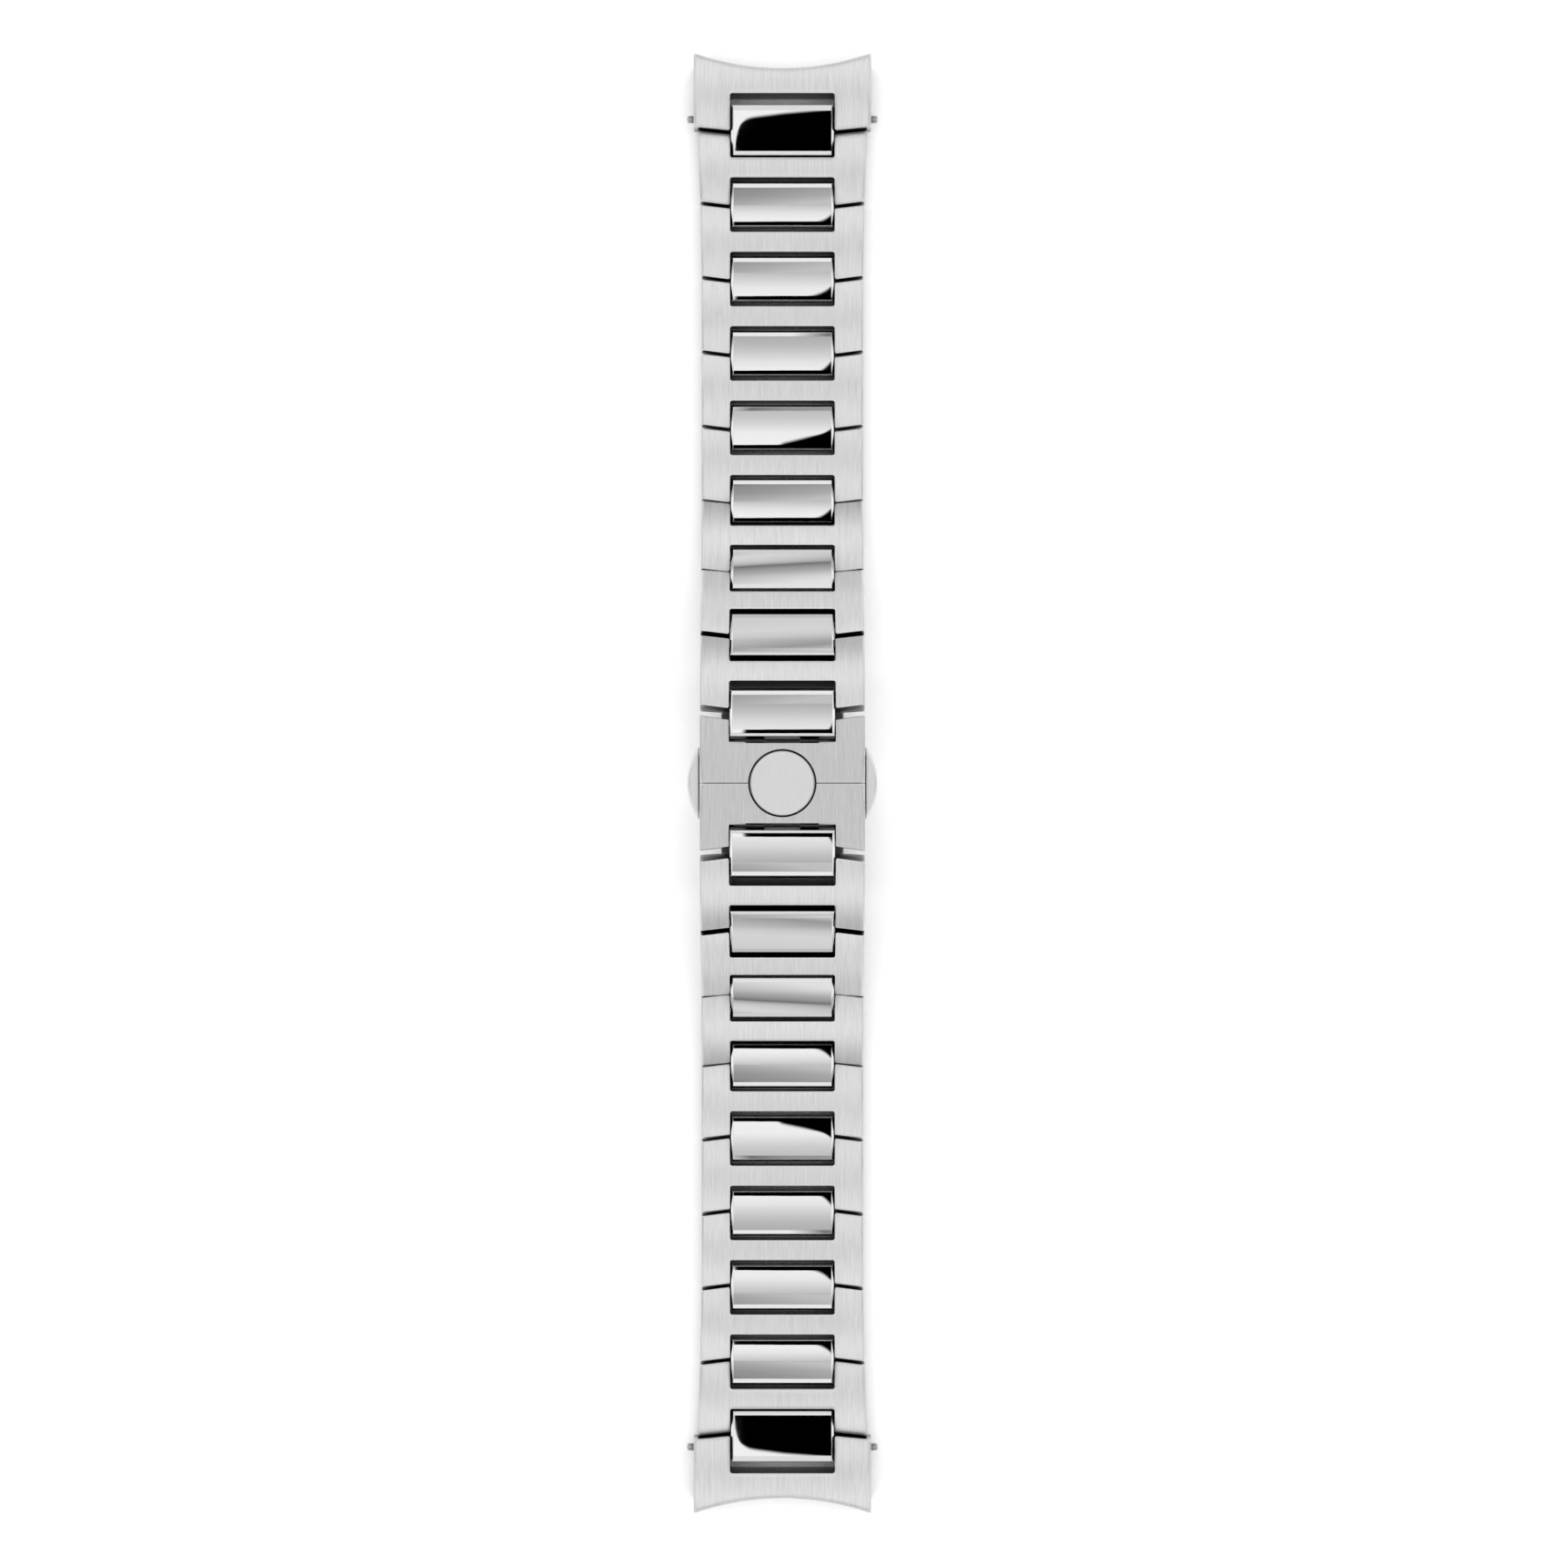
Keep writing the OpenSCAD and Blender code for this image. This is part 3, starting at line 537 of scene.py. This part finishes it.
# Painted shadow: where something lies over the table, its grey colour and its own light are both
# taken away.
covered = put(tree, "ShaderNodeAmbientOcclusion", -1000, -400, samples=4)
covered.inputs["Distance"].default_value = SHADOW_REACH
free = remap(tree, -700, -400, covered.outputs["AO"], COVERED_TO_FREE)
tree.links.new(scaled(tree, -350, 100, TABLE_GREY, free), shader.inputs["Base Color"])
seen = put(tree, "ShaderNodeLightPath", -700, -200)
by_camera, by_steel = seen.outputs["Is Camera Ray"], seen.outputs["Is Glossy Ray"]
lift = math_node(tree, "MAXIMUM", -500, -200, by_camera, by_steel)
lift = math_node(tree, "MULTIPLY", -350, -200, lift, TABLE_GLOW)
lift = math_node(tree, "MULTIPLY", -250, -250, lift, free)
tree.links.new(lift, shader.inputs["Emission Strength"])
table.data.materials.append(paper)
print("table:", TABLE_SIDE, "m wide")

# %% [markdown]
# ## The studio
#
# Polished steel shows nothing but its surroundings, so the surroundings are designed. Overhead
# hangs a ceiling of cards that only reflections see. Lamps would work too, but a card can be
# painted, and its paint is what a mirror shows.
#
# A photographer would add small cards by hand for one link or another. Light linking does the
# same: a card lights only the pieces in its collection, and it is see-through to all others. Each
# card hangs a little below the one before it, because cards in one plane would hide one another.

# %% Cards
CEILING = 0.45
SPACING = 0.0005
HIDDEN_FROM = ("camera", "diffuse", "shadow", "transmission", "volume_scatter")
cards = []


def next_drop():
    """How far below the ceiling the next card hangs."""
    return SPACING * len(cards)


def hang_card(name, half_x, y0, y1):
    """A flat card from y0 to y1 that only reflections see."""
    bpy.ops.object.select_all(action="DESELECT")
    place = (0, (y0 + y1) / 2, CEILING - next_drop())
    bpy.ops.mesh.primitive_plane_add(size=1.0, location=place)
    card = bpy.context.object
    card.name = name
    card.scale = (2 * half_x, abs(y1 - y0), 1)
    bpy.ops.object.transform_apply(location=True, rotation=True, scale=True)
    cards.append(card)
    for way in HIDDEN_FROM:
        setattr(card, f"visible_{way}", False)
    return card


def add_card(name, half_x, y0, y1, receivers=None):
    """A card with its light. With receivers it lights those pieces alone.

    It returns the card's node tree, the sockets of X and Y on it, and its light.
    """
    card = hang_card(name, half_x, y0, y1)
    paint = bpy.data.materials.new(name)
    paint.use_nodes = True
    card.data.materials.append(paint)
    tree = paint.node_tree
    tree.nodes.clear()
    out = put(tree, "ShaderNodeOutputMaterial", 900, 0)
    glow = put(tree, "ShaderNodeEmission", 500, 0)
    coords = put(tree, "ShaderNodeTexCoord", -1100, 0)
    split = put(tree, "ShaderNodeSeparateXYZ", -900, 0)
    tree.links.new(coords.outputs["Object"], split.inputs[0])
    surface = glow.outputs["Emission"]
    if receivers:
        clear = put(tree, "ShaderNodeBsdfTransparent", 500, -150)
        both = put(tree, "ShaderNodeAddShader", 700, 0)
        tree.links.new(surface, both.inputs[0])
        tree.links.new(clear.outputs["BSDF"], both.inputs[1])
        surface = both.outputs["Shader"]
        lit = bpy.data.collections.new(name + "_pieces")
        for piece in receivers:
            lit.objects.link(piece)
        card.light_linking.receiver_collection = lit
    tree.links.new(surface, out.inputs["Surface"])
    return tree, split.outputs["X"], split.outputs["Y"], glow


print("ceiling:", CEILING, "m above the table")

# %% [markdown]
# A card's paint is a colour ramp over the distance from Y = 0, the line across the middle of the
# clasp. The ramp is a list of places and how bright the card is there.

# %% Paint helpers


def paint_by(tree, x, y, distance, stops, reach):
    """The colour at a distance, from (distance, brightness) stops between 0 and reach."""
    share = math_node(tree, "DIVIDE", x - 200, y, distance, reach)
    ramp = put(tree, "ShaderNodeValToRGB", x, y)
    elements = ramp.color_ramp.elements
    for index, (place, level) in enumerate(stops):
        if index == 0:
            stop = elements[0]
        elif index == len(stops) - 1:
            stop = elements[-1]
        else:
            stop = elements.new(place / reach)
        stop.position = place / reach
        stop.color = (level, level, level, 1)
    tree.links.new(share, ramp.inputs["Fac"])
    return ramp.outputs["Color"]


def clamped(tree, x, y, value, low, high):
    """A value kept between two limits."""
    node = put(tree, "ShaderNodeClamp", x, y)
    for label, number in zip(("Value", "Min", "Max"), (value, low, high)):
        feed(tree, node.inputs[label], number)
    return node.outputs["Result"]


print("paint helpers are ready")

# %% [markdown]
# ## The main ceiling
#
# Near the middle the ceiling is black, because the camera stands there. Further out it is a mix
# of greys with two dark stripes. The nearer one draws a fine dark line along the flat links, and
# the farther one a dark band on the links that lean down from the clasp. The stripes lean a
# little, so that the lines they draw aren't quite parallel to the links' edges.

# %% Main ceiling
MIDDLE = 0.15
WIDEST = 2.4
LEAN = 0.02
BLACK = (0, 0, 0, 1)
OUTER = [
    (0.0, 0.60), (MIDDLE, 0.60), (0.168, 0.45), (0.188, 0.34), (0.202, 0.30), (0.206, 0.16),
    (0.209, 0.60), (0.215, 0.95), (0.34, 0.90), (0.395, 0.85), (0.44, 0.45), (0.468, 0.30),
    (0.474, 0.08), (0.486, 0.40), (0.50, 0.62), (0.53, 0.80), (0.56, 0.35), (0.59, 0.50),
    (0.63, 0.68), (0.68, 0.76), (0.76, 0.72), (0.85, 0.65), (1.2, 0.55), (1.7, 0.95),
    (WIDEST, 0.45),
]
tree, across, along, glow = add_card("ceiling_card", WIDEST, -WIDEST, WIDEST)
away = math_node(tree, "ABSOLUTE", -700, 100, along)
lean = clamped(tree, -700, -100, across, -LEAN, LEAN)
leaning = math_node(tree, "SUBTRACT", -500, 0, away, lean)
color = paint_by(tree, 0, 0, leaning, OUTER, WIDEST)
outside = math_node(tree, "GREATER_THAN", -300, 150, away, MIDDLE)
tree.links.new(blend(tree, "RGBA", 300, 0, outside, BLACK, color), glow.inputs["Color"])
print("shades on the ceiling:", len(OUTER))

# %% [markdown]
# ## The middle, seen by the polished links
#
# The middle of the ceiling is made of cards that one polished link, or a few alike, see alone. A
# card is white beyond a border and black inside it, and the border slants. That leaves a black
# wedge in the link's corner, thin at its left end and thick at its right. The links differ in how
# they lean, so each border has its own places: at the left, in the middle and at the right. The
# curl lifts its right end, and the droop pulls down its left end. The two outermost links lean
# towards the camera and mirror it, so they are almost black all over. Their cards reach past the
# clasp's middle line and turn white again there, which lights the edge nearest the clasp.
#
# The links of the other half are the same ones mirrored, and have mirrored cards. A ray can pass
# through eight see-through cards at most, so a card covers only what its links see. It stops
# short of the ceiling's own light by as much as a ray to that place leans over the drop.

# %% Borders
WEDGES = {
    "end": {
        "links": (1,), "places": (0.030, 0.040, 0.046), "curl": 0.0, "droop": -0.13,
        "paint": [(0.07, 1.0), (0.10, 0.88), (0.13, 0.64), (MIDDLE, 0.56)],
    },
    "first": {
        "links": (2, 6, 7, 8), "places": (0.052, 0.105, 0.118), "curl": 0.016, "droop": 0.0,
        "paint": [(0.10, 1.0), (0.12, 0.98), (0.135, 0.80), (MIDDLE, 0.62)],
    },
    "second": {
        "links": (3,), "places": (0.030, 0.088, 0.101), "curl": 0.018, "droop": 0.0,
        "paint": [(0.09, 1.0), (0.105, 0.95), (0.13, 0.74), (MIDDLE, 0.58)],
    },
    "inner": {
        "links": (4, 5, 9), "places": (0.016, 0.061, 0.078), "curl": 0.022, "droop": 0.0,
        "paint": [(0.055, 1.0), (0.08, 0.97), (0.10, 0.80), (0.125, 0.62), (MIDDLE, 0.48)],
    },
}
HALF_WINDOW = 0.0134
CURL_POWER = 6.0
DROOP_POWER = 12.0


def border_of(tree, across, places, curl, droop):
    """The border's distance at each place across, which goes from -1 at the left to 1."""
    left, middle, right = places
    bends = (
        (1.0, 1.0, right - middle),
        (-1.0, 1.0, left - middle),
        (1.0, CURL_POWER, curl),
        (-1.0, DROOP_POWER, droop),
    )
    border = middle
    for way, power, amount in bends:
        bend = math_node(tree, "MULTIPLY", -800, -250, across, way)
        bend = math_node(tree, "MAXIMUM", -700, -250, bend, 0.0)
        bend = math_node(tree, "POWER", -600, -250, bend, power)
        bend = math_node(tree, "MULTIPLY", -500, -250, bend, amount)
        border = math_node(tree, "ADD", -200, -150, bend, border)
    return border


print("kinds of wedge:", ", ".join(WEDGES))

# %% Cards for the polished links
CARD_HALF = 0.5
RAY_LEAN = 0.25
BORDER_BLUR = 0.003
PAST_CLASP = -0.055
polished = sum(name.startswith("center_link") for name in nodes)


def add_wedge_card(name, side, links, places, curl, droop, paint):
    """The card of some polished links on one side, 1 for the upper half and -1 for the lower."""
    numbers = [n if side == 1 else polished + 1 - n for n in links]
    start = -MIDDLE if droop else 0.0
    stop = MIDDLE - RAY_LEAN * next_drop()
    tree, across, along, glow = add_card(
        f"card_{name}_{'upper' if side == 1 else 'lower'}", CARD_HALF, start * side, stop * side,
        receivers=[nodes[f"center_link_{n:02d}"] for n in numbers],
    )
    away = math_node(tree, "MULTIPLY", -900, 300, along, float(side))
    share = math_node(tree, "DIVIDE", -1000, -100, across, HALF_WINDOW)
    share = clamped(tree, -900, -100, share, -1.0, 1.0)
    border = border_of(tree, share, places, curl, droop)
    beyond = math_node(tree, "SUBTRACT", -100, 0, away, border)
    beyond = remap(
        tree, 50, 0, beyond, (-BORDER_BLUR, BORDER_BLUR), interpolation_type="SMOOTHSTEP"
    )
    past = math_node(tree, "LESS_THAN", 50, -300, away, PAST_CLASP)
    white = math_node(tree, "MAXIMUM", 250, -100, beyond, past)
    color = paint_by(tree, 50, 300, away, paint, MIDDLE)
    tree.links.new(color, glow.inputs["Color"])
    tree.links.new(white, glow.inputs["Strength"])


for side in (1, -1):
    for name, wedge in WEDGES.items():
        add_wedge_card(name, side, **wedge)
print("cards so far:", len(cards))

# %% [markdown]
# ## Light for the brushed pieces
#
# Brushed faces blur what they mirror, so they need soft, wide cards: one for the links and one
# for the clasp, both brightest overhead. The steepest brushed link of each half leans so far that
# it faces another part of the ceiling, and gets a card there.

# %% Cards for the brushed pieces
GLOW_REACH = 0.50
LINK_GLOW = [(0.0, 1.20), (0.06, 1.13), (0.12, 0.83), (0.20, 0.50), (0.35, 0.22), (GLOW_REACH, 0.0)]
CLASP_GLOW = [(0.0, 0.85), (0.12, 0.85), (0.20, 0.40), (0.25, 0.10), (GLOW_REACH, 0.0)]
BRUSHED = {
    "card_for_links": (("h_link", "end_link", "spring_bar"), LINK_GLOW),
    "card_for_covers": (("clasp", "medallion", "fold", "base", "latch", "push_button"), CLASP_GLOW),
}
for name, (starts, stops) in BRUSHED.items():
    tree, across, along, glow = add_card(
        name, CARD_HALF, -GLOW_REACH, GLOW_REACH,
        receivers=[piece for label, piece in nodes.items() if label.startswith(starts)],
    )
    away = math_node(tree, "ABSOLUTE", -700, 100, along)
    tree.links.new(paint_by(tree, 0, 0, away, stops, GLOW_REACH), glow.inputs["Color"])

STEEPEST = ("h_link_07", "h_link_10")
STEEP_HALF = 0.8
STEEP_FROM, STEEP_TO = 0.30, 1.10
STEEP_GLOW = 0.36
for side, place in ((1, "upper"), (-1, "lower")):
    glow = add_card(
        f"card_for_steep_links_{place}", STEEP_HALF, STEEP_FROM * side, STEEP_TO * side,
        receivers=[nodes[name] for name in STEEPEST],
    )[-1]
    glow.inputs["Color"].default_value = (1, 1, 1, 1)
    glow.inputs["Strength"].default_value = STEEP_GLOW
print("cards:", len(cards))

# %% [markdown]
# ## The world
#
# A plain white world lights the sides of the pieces and all that the cards leave out. At a
# strength of 1 a colour shows about as it is written.

# %% World
world = bpy.data.worlds.new("studio")
bpy.context.scene.world = world
world.use_nodes = True
tree = world.node_tree
tree.nodes.clear()
out = put(tree, "ShaderNodeOutputWorld", 400, 0)
light = put(tree, "ShaderNodeBackground", 200, 0)
light.inputs["Color"].default_value = (1, 1, 1, 1)
light.inputs["Strength"].default_value = 1.0
tree.links.new(light.outputs["Background"], out.inputs["Surface"])
print("world:", world.name)

# %% [markdown]
# ## The camera
#
# The photograph looks straight down. From 0.4 m above the table, the camera sees a little of the
# inner walls of the outermost slots, as the photograph does. The lens frames the whole bracelet
# at the size that it has there. The view transform is Standard, which shows colours as they are
# written.

# %% Camera
CAMERA_PLACE = (0.0002, -0.0001, 0.400)
bpy.ops.object.camera_add(location=CAMERA_PLACE, rotation=(0, 0, 0))
camera = bpy.context.object
camera.name = "camera"
camera.data.sensor_width = 36.0
camera.data.lens = 73.7
camera.data.clip_start = 0.01
camera.data.clip_end = 10.0
bpy.context.scene.camera = camera
bpy.context.scene.view_settings.view_transform = "Standard"
print("camera:", CAMERA_PLACE)
